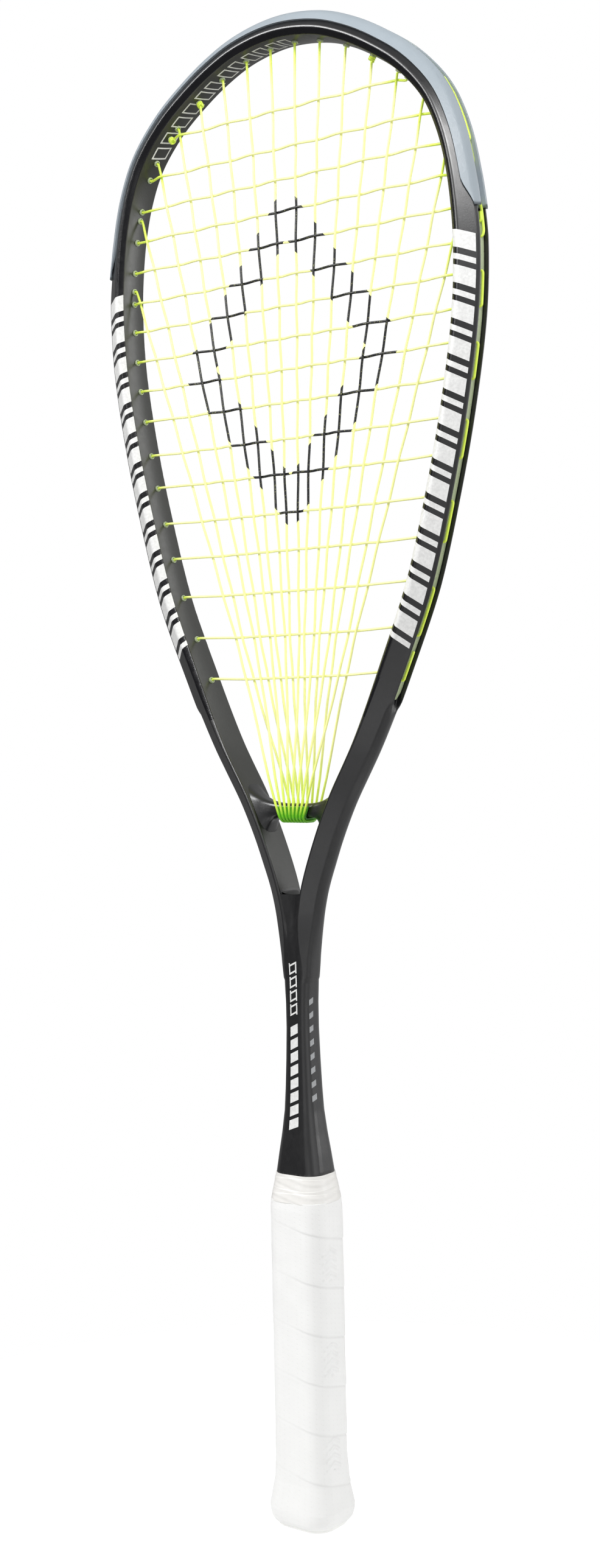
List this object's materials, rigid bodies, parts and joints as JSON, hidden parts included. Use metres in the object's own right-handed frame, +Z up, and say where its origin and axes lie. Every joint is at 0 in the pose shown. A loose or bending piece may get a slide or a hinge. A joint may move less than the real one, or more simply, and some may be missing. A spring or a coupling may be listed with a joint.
{
  "type": "squash racket",
  "caption": "Strung carbon squash racket with a teardrop head, open throat, bumper guard and wrapped cushioned grip, for hitting a small rubber ball",
  "frame": {"origin": "middle of the flat end of the butt cap", "axes": "+Z up the handle towards the tip of the head, X across the head, Y square to the string bed with the front at -Y"},
  "size_m": [0.2064, 0.0318, 0.6794],
  "materials": {
    "carbon": "satin clear coat over carbon laminate",
    "bumper": "translucent nylon, satin",
    "grommet_strip": "translucent nylon, satin",
    "string": "smooth coated multifilament",
    "saddle": "translucent, glossy",
    "foam": "moulded foam",
    "cap": "satin",
    "staple": "plain wire",
    "grip": "perforated synthetic leather, soft matte",
    "tape": "stretched vinyl tape"
  },
  "bodies": {
    "root": {"frame": "carbon", "throat_bridge": "carbon", "bridge_saddle": "saddle", "bumper_guard": "bumper", "grommet_strip_right": "grommet_strip", "grommet_strip_left": "grommet_strip", "main_string": "string", "cross_string": "string", "handle_pallet_front": "foam", "handle_pallet_back": "foam", "butt_cap": "cap", "butt_staple_front": "staple", "butt_staple_back": "staple", "grip_wrap": "grip", "finishing_tape": "tape"}
  },
  "joints": []
}
